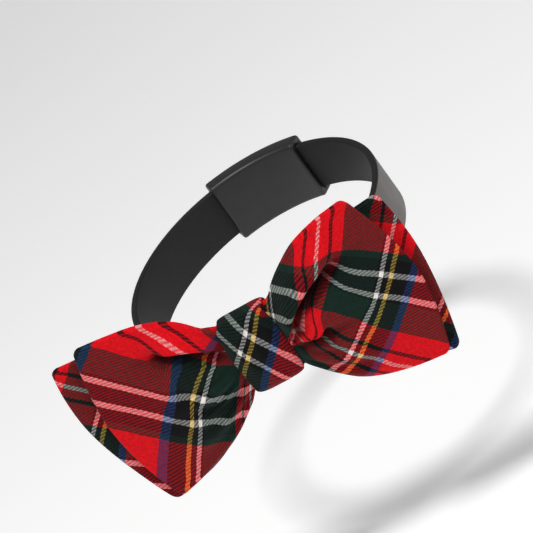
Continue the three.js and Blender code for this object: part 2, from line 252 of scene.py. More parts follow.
# The two layers of the bow, each with its wings
FRONT_LAYER = {
    "waist_back": FRONT_WAIST_BACK,
    "waist": FRONT_WAIST,
    "puff": FRONT_PUFF,
    "top": FRONT_HIGH.z - BOW_RISE,
    "bottom": BOW_RISE - FRONT_LOW.z,
    "dent_seed": 1.0,
    "left": {
        "sections": FRONT_LEFT_SECTIONS,
        "folds": FRONT_LEFT_FOLDS,
        "slips": FRONT_LEFT_SLIPS,
        "top_tip": FRONT_TIP,
        "bottom_tip": FRONT_TIP,
        "end_bulge": FRONT_LEFT_BULGE,
    },
    "right": {
        "sections": FRONT_RIGHT_SECTIONS,
        "folds": FRONT_RIGHT_FOLDS,
        "slips": FRONT_RIGHT_SLIPS,
        "top_tip": FRONT_TIP,
        "bottom_tip": FRONT_TIP,
        "end_bulge": FRONT_RIGHT_BULGE,
    },
}
BACK_LAYER = {
    "waist_back": BACK_WAIST_BACK,
    "waist": BACK_WAIST,
    "puff": BACK_PUFF,
    "top": BACK_HIGH.z - BOW_RISE,
    "bottom": BOW_RISE - BACK_LOW.z,
    "dent_seed": 2.0,
    "left": {
        "sections": BACK_SECTIONS,
        "folds": BACK_FOLDS,
        "slips": BACK_LEFT_SLIPS,
        "top_tip": BACK_LEFT_TOP_TIP,
        "bottom_tip": BACK_LEFT_BOTTOM_TIP,
        "end_bulge": BACK_LEFT_BULGE,
    },
    "right": {
        "sections": BACK_SECTIONS,
        "folds": BACK_FOLDS,
        "slips": BACK_RIGHT_SLIPS,
        "top_tip": BACK_RIGHT_TOP_TIP,
        "bottom_tip": BACK_RIGHT_BOTTOM_TIP,
        "end_bulge": BACK_RIGHT_BULGE,
    },
}

# Colours of the tartan's yarns, linear
YARNS = {
    "red": (0.76, 0.006, 0.02),
    "green": (0.012, 0.045, 0.032),
    "black": (0.006, 0.006, 0.008),
    "white": (0.85, 0.83, 0.8),
    "yellow": (0.75, 0.5, 0.08),
    "blue": (0.03, 0.075, 0.27),
}

# Half of the tartan's stripes each way, from the middle of one white line to the middle of the widest red,
# with widths in millimetres. The other half mirrors it.
WARP_STRIPES = [
    ("white", 0.5), ("red", 2.95), ("black", 1.2), ("red", 3.6), ("green", 14.4), ("black", 0.8),
    ("white", 1.5), ("black", 1.8), ("yellow", 1.7), ("black", 5.6), ("blue", 2.8), ("red", 14.5),
]
WEFT_STRIPES = [
    ("white", 0.8), ("red", 3.25), ("black", 1.3), ("red", 8.0), ("green", 10.5), ("black", 1.4),
    ("white", 2.2), ("black", 6.8), ("white", 2.2), ("black", 5.3), ("green", 3.0), ("red", 16.5),
]

# Where the stripes mirror on each cloth, in millimetres
PIVOTS = {
    "tartan_front": {"warp": 8.2, "weft": 4.8},
    "tartan_back": {"warp": 32.2, "weft": -28},
    "tartan_knot": {"warp": -31.6, "weft": -29.9},
}

# How the bias pulls the knot's cloth askew: its flat coordinates from the lengths across and up
KNOT_SKEW = Matrix(((1.23, -0.16), (0.23, 0.84)))

# The weave: a thread's width, how many threads pass over and under, how far the stripes wander and fray, how
# much of the warp is seen where it lies under and how much more where it lies over, how strongly the hidden
# yarn tints the other, and the mottle's darkest and lightest
THREAD = 0.4 * MM
TWILL = 2
WANDER = 1.2 * MM
FRAY = 0.35 * MM
WARP_SEEN_UNDER = 0.12
WARP_SEEN_MORE = 0.66
WARP_TINT = 0.5
WEFT_TINT = 0.6
MOTTLE_DARK = 0.74
MOTTLE_LIGHT = 1.24

# Most of a noise lies between these values
NOISE_LOW = 0.3
NOISE_HIGH = 0.7

# The stage: the floor, and the surround's colours at the horizon and above
FLOOR_DROP = 60 * MM
FLOOR_HALF = 6.0
FLOOR_GLOW = 0.34
HORIZON = (0.8, 0.79, 0.78, 1)
SKY = (0.17, 0.17, 0.17, 1)
SKY_FROM = 0.3

# The photograph's angle, and the direction of its light
CENTRE = Vector((0.0, -6 * MM, 1 * MM))
CAMERA_RIGHT = Vector((0.845, 0.0, -0.535))
CAMERA_BACKWARDS = Vector((0.268, -0.865, 0.424))
CAMERA_DISTANCE = 2.0
CAMERA_LENS = 376
CAMERA_SENSOR = 36
OVERHEAD = Vector((0.507, 0.259, 0.822))

# Lamps: shares of the four directions that each shines from, distance and size in metres, power in watts
LAMPS = [
    {"name": "key", "right": -0.6, "up": 0.0, "backwards": 0.55, "overhead": 0.6,
     "distance": 0.9, "size": 0.2, "power": 5.6},
    {"name": "fill", "right": 0.5, "up": -0.3, "backwards": 0.9, "overhead": 0.0,
     "distance": 1.1, "size": 0.35, "power": 3.6},
    {"name": "rim", "right": 0.7, "up": 0.6, "backwards": 0.35, "overhead": 0.0,
     "distance": 0.9, "size": 0.3, "power": 0.8},
]


def lerp(a, b, share):
    return a + (b - a) * share


def clamp(value, low=0.0, high=1.0):
    return max(low, min(high, value))


def smoothstep(value, low, high):
    share = clamp((value - low) / (high - low))
    return share * share * (3 - 2 * share)


def round_edge(share):
    """A quarter circle that rises from 0 at an edge to 1 at one radius from it."""
    return math.sqrt(1 - (1 - clamp(share)) ** 2)


def pairs(values):
    return list(zip(values, values[1:]))


def lengths_along(points):
    """Length of a line up to each of its points."""
    run = [0.0]
    for before, after in pairs(points):
        run.append(run[-1] + math.dist(before, after))
    return run


def read_sections(rows, column, along):
    """One column of a table of sections, as a smooth curve."""
    i = 0
    while i < len(rows) - 2 and rows[i + 1]["along"] < along:
        i += 1

    def slope(k):
        before, after = rows[max(k - 1, 0)], rows[min(k + 1, len(rows) - 1)]
        return (after[column] - before[column]) / (after["along"] - before["along"])

    width = rows[i + 1]["along"] - rows[i]["along"]
    s = (along - rows[i]["along"]) / width
    rise = rows[i + 1][column] - rows[i][column]
    eased = s * s * (3 - 2 * s)
    lead = slope(i) * width * s * (1 - s) ** 2
    trail = slope(i + 1) * width * s * s * (1 - s)
    return rows[i][column] + rise * eased + lead - trail


def crease_height(fold, along):
    """Height of a fold's crease, as a share of the half height."""
    left = 1 - clamp(along / fold["reach"])
    return lerp(fold["finish"], fold["start"], left ** fold["bend"])


def fold_fade(fold, along):
    return 1 - smoothstep(along, FADE_FROM * fold["reach"], fold["reach"])


def hollow_fade(fold, along):
    return 1 - smoothstep(along, FADE_FROM * fold["reach"], HOLLOW_FADE_TO * fold["reach"])


def painted_shade_fade(fold, along):
    return 1 - smoothstep(along, PAINTED_SHADE_FADE_FROM * fold["reach"], PAINTED_SHADE_FADE_TO * fold["reach"])


class Section:
    """One section across a wing, at a share of the wing's length outside the knot."""

    def __init__(self, layer, side, along):
        wing = layer["right"] if side > 0 else layer["left"]
        sections = wing["sections"]
        self.layer, self.wing, self.side, self.along = layer, wing, side, along
        self.folds = wing["folds"]
        self.top = lerp(WAIST_HALF_HEIGHT, layer["top"], read_sections(sections, "top", along))
        self.bottom = lerp(WAIST_HALF_HEIGHT, layer["bottom"], read_sections(sections, "bottom", along))
        self.half = (self.top + self.bottom) / 2
        self.curl = read_sections(sections, "curl", along)
        self.puff = layer["puff"] * read_sections(sections, "puff", along)
        self.fullness = clamp(self.puff / layer["puff"])
        self.wall = lerp(layer["waist"], CLOTH_WALL, smoothstep(along, 0, WAIST_REACH))
        self.middle = layer["waist_back"] + layer["waist"] / 2

    def end(self, share):
        """How far out the wing ends, at a height that is a share of the half height."""
        tip = lerp(self.wing["bottom_tip"], self.wing["top_tip"], (share + 1) / 2)
        corner = round_edge((1 - abs(share)) * self.half / CORNER_RADIUS)
        bulge = self.wing["end_bulge"] * (1 - abs(share) ** END_ROUNDNESS)
        return tip + bulge - CORNER_RADIUS * (1 - corner)

    def smooth_point(self, share):
        """The middle of the cloth without its folds."""
        x = self.side * lerp(KNOT_HALF_WIDTH, self.end(share), self.along)
        z = share * (self.top if share > 0 else self.bottom)
        crown = 1 - self.curl * abs(share) ** CROWN_ROUNDNESS
        return Vector((x, -self.middle - self.puff * crown, z))

    def above_crease(self, fold, share):
        """How far a height lies above a fold's crease, in metres."""
        return (share - crease_height(fold, self.along)) * self.half

    def kept_by_folds(self, share):
        """Share of the puff that the folds leave: each has a slit near the knot, in a hollow that runs on."""
        kept = 1.0
        for fold in self.folds:
            rise = self.above_crease(fold, share)
            sharp = fold_fade(fold, self.along)
            slit = sharp * smoothstep(rise, -FOLD_FAR_SIDE, -FOLD_FLOOR)
            hollow = hollow_fade(fold, self.along) * smoothstep(rise, -FOLD_HOLLOW, 0)
            upper_side = lerp(FOLD_SOFT_SIDE, FOLD_STEEP_SIDE, sharp)
            left = lerp(slit, hollow, FOLD_HOLLOW_SHARE) * (1 - smoothstep(rise, 0, upper_side))
            kept *= 1 - fold["depth"] * left
        return kept

    def painted_fold_shade(self, share):
        """How strongly painted shade darkens the cloth inside a fold, from 0 to 1."""
        strongest_shade = 0.0
        for fold in self.folds:
            rise = self.above_crease(fold, share)
            slit = painted_shade_fade(fold, self.along) * smoothstep(rise, -PAINTED_SHADE_FAR, -PAINTED_SHADE_NEAR)
            hollow = PAINTED_SHADE_IN_HOLLOW * hollow_fade(fold, self.along) * smoothstep(rise, -FOLD_HOLLOW, 0)
            below = 1 - smoothstep(rise, 0, FOLD_STEEP_SIDE)
            strongest_shade = max(strongest_shade, fold["depth"] * max(slit, hollow) * below)
        return strongest_shade * self.fullness

    def lip_drop(self, share):
        """How far down the cloth is carried where it hangs over a fold, and up behind it."""
        drop = 0.0
        for fold in self.folds:
            rise = self.above_crease(fold, share) - FOLD_STEEP_SIDE / 2
            if abs(rise) < FOLD_LIP_SIDE:
                size = fold["lip"] * MM * fold_fade(fold, self.along) * self.fullness
                drop += size * math.sin(math.pi * rise / FOLD_LIP_SIDE)
        return drop

    def stand(self, share):
        """How far the cloth stands out of its smooth form: rolls over the folds, gathers at the knot."""
        grown = clamp(self.along * FOLD_GROWTH)
        wave = math.sin(GATHERS * math.pi * share + GATHER_PHASE * self.side)
        fade = 1 - smoothstep(self.along, GATHER_FADE_FROM, GATHER_FADE_TO)
        out = GATHER_DEPTH * wave * grown * fade
        for fold in self.folds:
            size = fold["roll"] * MM * fold_fade(fold, self.along) * grown
            out += size * math.sin(math.pi * clamp(self.above_crease(fold, share) / FOLD_ROLL_SIDE))
        return out

    def edge_rounding(self, share):
        """Share of the wall's thickness that is left close to an edge."""
        inset = min((1 - abs(share)) * self.half, (1 - self.along) * self.wing["top_tip"])
        return round_edge(inset / EDGE_RADIUS)

    def tucked(self, share, passed):
        """Share of the gathered cloth that lies below this height: in the folds, and the rest evenly."""
        weights = [fold["tuck"] * fold_fade(fold, self.along) for fold in self.folds]
        tucked = (1 - sum(weights)) * passed
        for fold, weight in zip(self.folds, weights):
            tucked += weight * smoothstep(self.above_crease(fold, share), 0, FOLD_STEEP_SIDE)
        return tucked

    def slip(self, share):
        """How far the cloth has slipped along and up, from the rows of its wing's table that lie near."""
        fold = self.folds[-1]
        over = smoothstep(self.above_crease(fold, share), 0, FOLD_STEEP_SIDE)
        apart = fold_fade(fold, self.along)
        slip, total = Vector((0, 0)), 1e-9
        for row in self.wing["slips"]:
            along = (self.along - row["along"]) / SLIP_ALONG
            across = (share - row["share"]) / SLIP_ACROSS
            weight = math.exp(-along * along - across * across) * (1 - apart * abs(over - row["over"]))
            slip += weight * Vector((row["out"], row["up"]))
            total += weight
        return slip * MM / total

    def shares(self):
        """Heights of the rows, as shares of the half height, close together beside each crease."""
        stops = [-1.0] + [crease_height(fold, self.along) for fold in self.folds] + [1.0]
        steps = [(1 - math.cos(math.pi * i / BAND_ROWS)) / 2 for i in range(BAND_ROWS)]
        return [lerp(low, high, step) for low, high in pairs(stops) for step in steps] + [1.0]


def wing_sections(layer, side):
    return [Section(layer, side, (i / WING_STEPS) ** WING_STEP_GROWTH) for i in range(WING_STEPS + 1)]


def lengths_out(sections):
    """Cloth length from the middle of the bow to each section, at TRAIL_STEPS + 1 heights."""
    shares = [lerp(-1, 1, k / TRAIL_STEPS) for k in range(TRAIL_STEPS + 1)]
    reached = [[KNOT_HALF_WIDTH] * len(shares)]
    for before, after in pairs(sections):
        steps = [(after.smooth_point(share) - before.smooth_point(share)).length for share in shares]
        reached.append([length + step for length, step in zip(reached[-1], steps)])
    return reached


def read_trail(lengths, share):
    place = (share + 1) / 2 * TRAIL_STEPS
    k = min(int(place), TRAIL_STEPS - 1)
    return lerp(lengths[k], lengths[k + 1], place - k)


def cloth_middle(section, share):
    """The middle of the cloth with its folds, gathers and dents."""
    point = section.smooth_point(share)
    stood = -section.middle - point.y
    point.y = -section.middle - stood * section.kept_by_folds(share) - section.stand(share)
    place = Vector((point.x, point.z, section.layer["dent_seed"])) / DENT_SPACING
    point.y += DENT_DEPTH * clamp(section.along * DENT_GROWTH) * noise.noise(place)
    return point


def section_points(section, lengths):
    """(front point, back point, cloth coordinates, painted shade in a fold) of each row of a section."""
    shares = section.shares()
    middles = [cloth_middle(section, share) for share in shares]
    run = lengths_along([middle.yz for middle in middles])
    bottom = section.layer["bottom"]
    spare = bottom + section.layer["top"] - run[-1]
    rows = []
    for share, middle, length in zip(shares, middles, run):
        wall = section.wall / 2 * section.edge_rounding(share)
        front = middle + Vector((0, -wall, -section.lip_drop(share)))
        back = middle + Vector((0, wall, 0))
        height = length - bottom + spare * section.tucked(share, length / run[-1])
        slip = section.slip(share)
        flat_place = (section.side * read_trail(lengths, share) + slip.x, height + slip.y)
        rows.append((front, back, flat_place, section.painted_fold_shade(share)))
    return rows


def add_mesh(name, points, faces, coordinates, material, smooth=True):
    """A mesh object whose UV map holds a pair of flat cloth coordinates for each corner of each face."""
    mesh = bpy.data.meshes.new(name)
    mesh.from_pydata(points, [], faces)
    flat = mesh.uv_layers.new(name="Cloth")
    for loop, pair in zip(flat.data, [pair for face in coordinates for pair in face]):
        loop.uv = pair
    mesh.polygons.foreach_set("use_smooth", [smooth] * len(mesh.polygons))
    mesh.materials.append(material)
    mesh.update()
    piece = bpy.data.objects.new(name, mesh)
    bpy.context.scene.collection.objects.link(piece)
    return piece


def ring_faces(rings, count, joined=False):
    """Faces between rings of `count` points; `joined` adds those from the last ring to the first."""
    faces = []
    for s in range(rings if joined else rings - 1):
        t = (s + 1) % rings
        for i in range(count):
            j = (i + 1) % count
            faces.append((s * count + i, t * count + i, t * count + j, s * count + j))
    return faces


def tube_faces(rings, count):
    """Faces of a tube of rings that turn the other way, closed at both ends."""
    faces = [(a, d, c, b) for a, b, c, d in ring_faces(rings, count)]
    last = (rings - 1) * count
    return faces + [tuple(range(count))[::-1], tuple(range(last, last + count))]


def patch(a, b, low, high):
    """Cloth coordinates of a face that reaches from a to b one way, and from low to high the other way."""
    return [(a, low), (a, high), (b, high), (b, low)]


def layer_piece(name, layer, material):
    """A layer of the bow, from its left end to its right end, as one closed wall."""
    columns = []
    for side in (-1, 1):
        sections = wing_sections(layer, side)
        rows = [section_points(*pair) for pair in zip(sections, lengths_out(sections))]
        columns += rows[::-1] if side < 0 else rows
    points, flats, painted_shades = [], [], []
    for column in columns:
        column_fronts, column_backs, column_flats, column_painted_shades = zip(*column)
        points += column_fronts + column_backs[::-1]
        flats += column_flats + column_flats[::-1]
        painted_shades += column_painted_shades + column_painted_shades[::-1]
    count = len(columns[0])
    ring = 2 * count
    faces = ring_faces(len(columns), ring)
    last = len(points) - ring
    for i in range(count - 1):
        faces.append((i, i + 1, ring - 2 - i, ring - 1 - i))
        faces.append((last + i, last + ring - 1 - i, last + ring - 2 - i, last + i + 1))
    points = [point + Vector((0, 0, BOW_RISE)) for point in points]
    coordinates = [[flats[i] for i in face] for face in faces]
    piece = add_mesh(name, points, faces, coordinates, material)
    # Painted shade inside the folds, kept on each point for the tartan to darken its colour
    piece.data.attributes.new("Depth", "FLOAT", "POINT").data.foreach_set("value", painted_shades)
    return piece


def around_neck(outwards, angle, height):
    """A point at an angle from the front of the oval loop, and some way out from its inner face."""
    sine, cosine = math.sin(angle), math.cos(angle)
    normal = Vector((LOOP_HALF_DEPTH * sine, -LOOP_HALF_WIDTH * cosine, 0)).normalized()
    return Vector((LOOP_HALF_WIDTH * sine, -LOOP_HALF_DEPTH * cosine, height)) + outwards * normal


def angle_of(length):
    """The angle that a length along the strap takes at the throat or the nape."""
    return length / (LOOP_HALF_WIDTH + STRAP_THICKNESS / 2)


def outline_round_strap(spare, radius, steps=6):
    """The strap's outline, grown by a spare: (distance out, height) pairs from the outer lower corner on."""
    low, high = -spare + radius, STRAP_THICKNESS + spare - radius
    half_height = STRAP_HALF + spare - radius
    corners = [(high, -half_height, -0.5), (high, half_height, 0.0)]
    corners += [(low, half_height, 0.5), (low, -half_height, 1.0)]
    outline = []
    for out, height, turn in corners:
        for i in range(steps + 1):
            angle = (turn + 0.5 * i / steps) * math.pi
            outline.append((out + radius * math.cos(angle), height + radius * math.sin(angle)))
    return outline


def strap_piece(material):
    """The neck strap: a band round the neck, from one pocket of the clasp to the other."""
    end = math.pi - angle_of(CLASP_WEB / 2 + GAP)
    outline = outline_round_strap(0, STRAP_CORNER)
    count = len(outline)
    points = []
    for s in range(STRAP_STEPS + 1):
        angle = lerp(-end, end, s / STRAP_STEPS)
        points += [around_neck(out, angle, height) for out, height in outline]
    along = lengths_along(points[::count])
    run = lengths_along(outline + outline[:1])
    coordinates = [patch(a, b, low, high) for a, b in pairs(along) for low, high in pairs(run)]
    coordinates.append([(along[0], length) for length in run[:-1]][::-1])
    coordinates.append([(along[-1], length) for length in run[:-1]])
    return add_mesh("strap", points, tube_faces(STRAP_STEPS + 1, count), coordinates, material)


def keeper_row(out, height, hole_out, hole_height, half_angle):
    """Points across the elastic loop at one place round it: the outer face, then back along the inner one."""
    angles = [lerp(-half_angle, half_angle, i / KEEPER_STEPS) for i in range(KEEPER_STEPS + 1)]
    row = []
    for angle in angles:
        inset = (half_angle - abs(angle)) * LOOP_HALF_WIDTH
        edge = KEEPER_EDGE_SHARE * (1 - round_edge(inset / KEEPER_EDGE))
        row.append(around_neck(lerp(out, hole_out, edge), angle, lerp(height, hole_height, edge)))
    return row + [around_neck(hole_out, angle, hole_height) for angle in reversed(angles)]


def keeper_piece(material):
    """The elastic loop: a flat ring round the strap, just behind the knot."""
    half_width = (KEEPER_HIGH.x - KEEPER_LOW.x) / 2
    outer = outline_round_strap(GAP + KEEPER_WALL, KEEPER_CORNER)
    hole = outline_round_strap(GAP, KEEPER_HOLE_CORNER)
    points = []
    for outside, inside in zip(outer, hole):
        points += keeper_row(*outside, *inside, angle_of(half_width))
    reach = angle_of(half_width) * LOOP_HALF_WIDTH
    across = [lerp(-reach, reach, i / KEEPER_STEPS) for i in range(KEEPER_STEPS + 1)]
    across += across[::-1]
    faces = ring_faces(len(outer), len(across), joined=True)
    run = lengths_along(outer + outer[:1])
    sides = pairs(across + across[:1])
    coordinates = [patch(a, b, low, high) for low, high in pairs(run) for a, b in sides]
    return add_mesh("keeper", points, faces, coordinates, material)


def clasp_rings():
    """Rings of (distance out, angle, height), from the floor of one pocket over the block to the other's."""
    outer = outline_round_strap(GAP + CLASP_WALL, CLASP_CORNER)
    pocket = outline_round_strap(GAP, CLASP_POCKET_CORNER)
    half_length = (CLASP_HIGH.x - CLASP_LOW.x) / 2
    half = math.asin(half_length / (LOOP_HALF_WIDTH + STRAP_THICKNESS + GAP + CLASP_WALL))
    rings = []
    for end in (angle_of(CLASP_WEB / 2), half):
        rings.append([(out, math.pi - end, height) for out, height in pocket])
    for i in range(CLASP_EDGE_STEPS + 1):
        turn = math.pi / 2 * i / CLASP_EDGE_STEPS
        angle = math.pi - half + angle_of(CLASP_EDGE * (1 - math.cos(turn)))
        share = CLASP_EDGE * (1 - math.sin(turn)) / CLASP_WALL
        ring = []
        for (out, height), (hole_out, hole_height) in zip(outer, pocket):
            ring.append((lerp(out, hole_out, share), angle, lerp(height, hole_height, share)))
        rings.append(ring)
    middle = []
    for i in range(1, CLASP_STEPS):
        angle = math.pi + lerp(-half, half, i / CLASP_STEPS) * CLASP_MIDDLE_SHARE
        middle.append([(out, angle, height) for out, height in outer])
    mirrored = [[(out, 2 * math.pi - angle, height) for out, angle, height in ring] for ring in rings[::-1]]
    return rings + middle + mirrored


def clasp_piece(material):
    """The clasp: a curved block with rounded edges, and a pocket in each end that the strap goes into."""
    rings = clasp_rings()
    points = [around_neck(*place) for ring in rings for place in ring]
    faces = tube_faces(len(rings), len(rings[0]))
    coordinates = [[(points[i].x, points[i].z) for i in face] for face in faces]
    return add_mesh("nape_clasp", points, faces, coordinates, material)


def ring_outline(back, front, half_height, corner, corner_steps=10, side_steps=20):
    """A closed outline of (distance in front, height) pairs, from the middle of the back upwards."""
    middle, half_depth = (back + front) / 2, (front - back) / 2
    straight = half_height - corner
    outline = [(back, lerp(0, straight, i / side_steps)) for i in range(side_steps)]
    corners = [(-1, 1, 1.0), (1, 1, 0.5), (1, -1, 0.0), (-1, -1, -0.5)]
    for reach, up, turn in corners:
        for i in range(corner_steps + 1):
            angle = (turn - 0.5 * i / corner_steps) * math.pi
            out = middle + reach * (half_depth - corner) + corner * math.cos(angle)
            outline.append((out, up * straight + corner * math.sin(angle)))
        if (reach, up) == (1, 1):
            rows = range(1, 2 * side_steps)
            outline += [(front, lerp(straight, -straight, i / len(rows))) for i in rows]
    outline += [(back, lerp(-straight, 0, i / side_steps)) for i in range(1, side_steps)]
    return outline


def knot_row(reach, height, hole_reach, hole_height):
    """Points across the knot at one place round it: its outer face, then back along its inner face."""
    face = clamp((reach - KNOT_BACK) / (KNOT_FRONT - KNOT_BACK))
    crown = math.cos(math.pi / 2 * clamp(height / KNOT_HALF_HEIGHT, -1, 1))
    half_width = KNOT_HALF_WIDTH - KNOT_PINCH * (1 - crown)
    phase = KNOT_PLEAT_PHASE + KNOT_PLEAT_SLANT * height / KNOT_HALF_HEIGHT
    shares = [lerp(-1, 1, i / KNOT_STEPS) for i in range(KNOT_STEPS + 1)]
    row = []
    for share in shares:
        bulge = KNOT_BULGE * (1 - share * share) * lerp(KNOT_END_BULGE, 1, crown)
        pleat = KNOT_PLEAT_DEPTH * crown * math.sin(KNOT_PLEATS * math.pi * share + phase)
        edge = KNOT_EDGE_SHARE * (1 - round_edge((1 - abs(share)) * half_width / KNOT_EDGE))
        out = lerp(reach, hole_reach, edge) + face * (bulge + pleat)
        row.append(Vector((share * half_width, -out, lerp(height, hole_height, edge) + BOW_RISE)))
    for share in reversed(shares):
        row.append(Vector((share * half_width, -hole_reach, hole_height + BOW_RISE)))
    return row


def knot_piece(material):
    """The knot: a closed ring of cloth round both waists, fuller across its middle than at its edges."""
    outside = ring_outline(KNOT_BACK, KNOT_FRONT, KNOT_HALF_HEIGHT, KNOT_CORNER)
    hole = ring_outline(KNOT_BACK + KNOT_WALL, KNOT_FRONT - KNOT_WALL, KNOT_HALF_HEIGHT - KNOT_WALL, GAP)
    rows = [knot_row(*outer, *inner) for outer, inner in zip(outside, hole)]
    points = [point for row in rows for point in row]
    faces = ring_faces(len(rows), len(rows[0]), joined=True)
    run = lengths_along(outside + outside[:1])
    heights = [run[-1] / 2 - length for length in run]
    across = [point.x for point in rows[0]]
    sides = pairs(across + across[:1])
    straight = [patch(a, b, low, high) for low, high in pairs(heights) for a, b in sides]
    coordinates = [[KNOT_SKEW @ Vector(corner) for corner in face] for face in straight]
    return add_mesh("knot", points, faces, coordinates, material)


def grey(value):
    return (value, value, value)


class Nodes:
    """Short ways to add shader nodes to a material and join them."""

    def __init__(self, name):
        self.material = bpy.data.materials.new(name)
        self.material.use_nodes = True
        self.tree = self.material.node_tree
        self.tree.nodes.clear()
        self.shader = self.tree.nodes.new("ShaderNodeBsdfPrincipled")
        output = self.tree.nodes.new("ShaderNodeOutputMaterial")
        self.join(self.shader.outputs["BSDF"], output.inputs["Surface"])

    def join(self, source, socket):
        if isinstance(source, bpy.types.NodeSocket):
            self.tree.links.new(source, socket)
        else:
            socket.default_value = source

    def math(self, operation, first, second=0.0, third=0.0):
        node = self.tree.nodes.new("ShaderNodeMath")
        node.operation = operation
        for socket, value in zip(node.inputs, (first, second, third)):
            self.join(value, socket)
        return node.outputs[0]

    def cloth(self):
        """The flat cloth coordinates in metres: along, across, and both as one vector."""
        node = self.tree.nodes.new("ShaderNodeUVMap")
        node.uv_map = "Cloth"
        split = self.tree.nodes.new("ShaderNodeSeparateXYZ")
        self.join(node.outputs[0], split.inputs[0])
        return split.outputs[0], split.outputs[1], node.outputs[0]

    def place(self):
        return self.tree.nodes.new("ShaderNodeTexCoord").outputs["Object"]

    def attribute(self, name):
        node = self.tree.nodes.new("ShaderNodeAttribute")
        node.attribute_name = name
        return node.outputs["Fac"]

    def noise(self, vector, scale, detail=2.0, roughness=0.5):
        node = self.tree.nodes.new("ShaderNodeTexNoise")
        self.join(vector, node.inputs["Vector"])
        node.inputs["Scale"].default_value = scale
        node.inputs["Detail"].default_value = detail
        node.inputs["Roughness"].default_value = roughness
        return node.outputs["Fac"]

    def ramp(self, value, stops, interpolation="LINEAR"):
        node = self.tree.nodes.new("ShaderNodeValToRGB")
        self.join(value, node.inputs[0])
        ramp = node.color_ramp
        ramp.interpolation = interpolation
        ramp.elements.remove(ramp.elements[1])
        ramp.elements[0].position, ramp.elements[0].color = stops[0][0], (*stops[0][1], 1)
        for position, colour in stops[1:]:
            ramp.elements.new(position).color = (*colour, 1)
        return node.outputs[0]

    def spread(self, value, low, high):
        """A noise, spread from one colour to another."""
        return self.ramp(value, [(NOISE_LOW, low), (NOISE_HIGH, high)])

    def mix(self, share, first, second, blend="MIX"):
        node = self.tree.nodes.new("ShaderNodeMix")
        node.data_type = "RGBA"
        node.blend_type = blend
        self.join(share, node.inputs[0])
        self.join(first if not isinstance(first, tuple) else (*first, 1), node.inputs[6])
        self.join(second if not isinstance(second, tuple) else (*second, 1), node.inputs[7])
        return node.outputs[2]

    def times(self, first, second):
        """One colour multiplied by another."""
        return self.mix(1.0, first, second, "MULTIPLY")

    def bump(self, height, distance, strength, below=None):
        node = self.tree.nodes.new("ShaderNodeBump")
        node.inputs["Strength"].default_value = strength
        node.inputs["Distance"].default_value = distance
        self.join(height, node.inputs["Height"])
        if below is not None:
            self.join(below, node.inputs["Normal"])
        return node.outputs[0]

    def finish(self, colour, roughness, normal, constants):
        """Joins up the shader, and sets constants on more of its sockets."""
        self.join(colour, self.shader.inputs["Base Color"])
        self.join(roughness, self.shader.inputs["Roughness"])
        if normal is not None:
            self.join(normal, self.shader.inputs["Normal"])
        for socket, value in constants.items():
            self.shader.inputs[socket].default_value = value
        return self.material


def stripe_colour(nodes, place, pivot, stripes):
    """Colour of the yarn at a distance across the stripes, which mirror at the pivot."""
    half = sum(width for colour, width in stripes) * MM
    share = nodes.math("DIVIDE", nodes.math("PINGPONG", nodes.math("SUBTRACT", place, pivot), half), half)
    stops, position = [], 0.0
    for colour, width in stripes:
        stops.append((position, YARNS[colour]))
        position += width * MM / half
    return nodes.ramp(share, stops, "CONSTANT")


def tinted(nodes, over, under, share):
    """The upper yarn's colour, darkened and tinted by the yarn that shows through from under it."""
    lifted = nodes.times(under, grey(1 / YARNS["red"][0]))
    return nodes.times(over, nodes.mix(share, grey(1.0), lifted))


def uneven(nodes, flat, size, scale, detail):
    """A noise about zero, as a length."""
    return nodes.math("MULTIPLY", nodes.math("SUBTRACT", nodes.noise(flat, scale, detail), 0.5), size)


def yarn_places(nodes, along, across, flat):
    """Distances across the warp and the weft, which lie at 45 degrees and run a little uneven."""
    shifted = nodes.math("ADD", uneven(nodes, flat, WANDER, 60, 2), uneven(nodes, flat, FRAY, 1500, 3))
    warp = nodes.math("MULTIPLY", nodes.math("SUBTRACT", along, across), math.sqrt(0.5))
    weft = nodes.math("MULTIPLY", nodes.math("ADD", along, across), math.sqrt(0.5))
    return nodes.math("ADD", warp, shifted), nodes.math("SUBTRACT", weft, shifted)


def thread_at(nodes, place):
    """Number of the thread at a place, the place of its middle, and the distance to it."""
    thread = nodes.math("FLOOR", nodes.math("DIVIDE", place, THREAD))
    middle = nodes.math("MULTIPLY", nodes.math("ADD", thread, 0.5), THREAD)
    return thread, middle, nodes.math("PINGPONG", nodes.math("SUBTRACT", place, middle), THREAD / 2)


